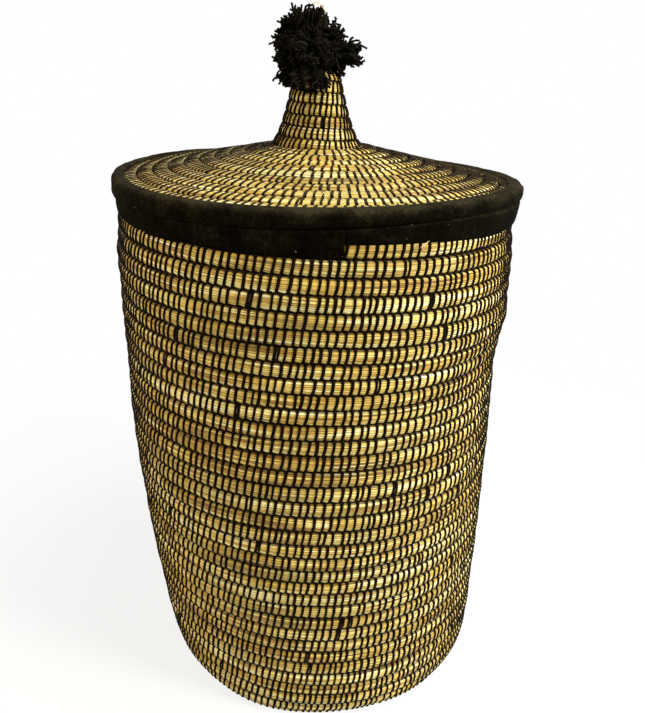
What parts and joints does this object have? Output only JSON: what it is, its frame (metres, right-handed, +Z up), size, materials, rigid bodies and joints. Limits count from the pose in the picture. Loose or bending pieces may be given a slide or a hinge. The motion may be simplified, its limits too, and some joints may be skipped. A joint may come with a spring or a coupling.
{
  "type": "laundry basket",
  "caption": "Tall round lidded laundry basket of coiled grass with black cloth rims and a shallow cone lid that ends in a hollow finial with a black pom-pom.",
  "frame": {"origin": "on the floor below the middle of the lid's rim, which is the middle of the bounding box", "axes": "+Z up along the basket's height, +X to the right and -Y towards the viewer as in the picture"},
  "size_m": [0.41, 0.41, 0.7075],
  "materials": {
    "grass": "satin golden grass stalks under black stitching",
    "black_cloth": "matt black cotton cloth",
    "black_yarn": "matt black yarn strips"
  },
  "bodies": {
    "basket": {"base_coil": "grass", "wall_coil": "grass", "rim_tail": "black_cloth", "rim_core": "grass", "rim_wrap": "black_cloth"},
    "lid": {"lid_rim_core": "grass", "lid_rim_wrap": "black_cloth", "crown_coil": "grass", "lip_coil": "grass", "finial_coil": "grass", "pompom_tie": "black_yarn", "pompom": "black_yarn"}
  },
  "joints": [
    {"name": "lid_lift", "type": "slide", "parent": "basket", "child": "lid", "axis": [0, 0, 1], "range_m": [0, 0.4]}
  ]
}
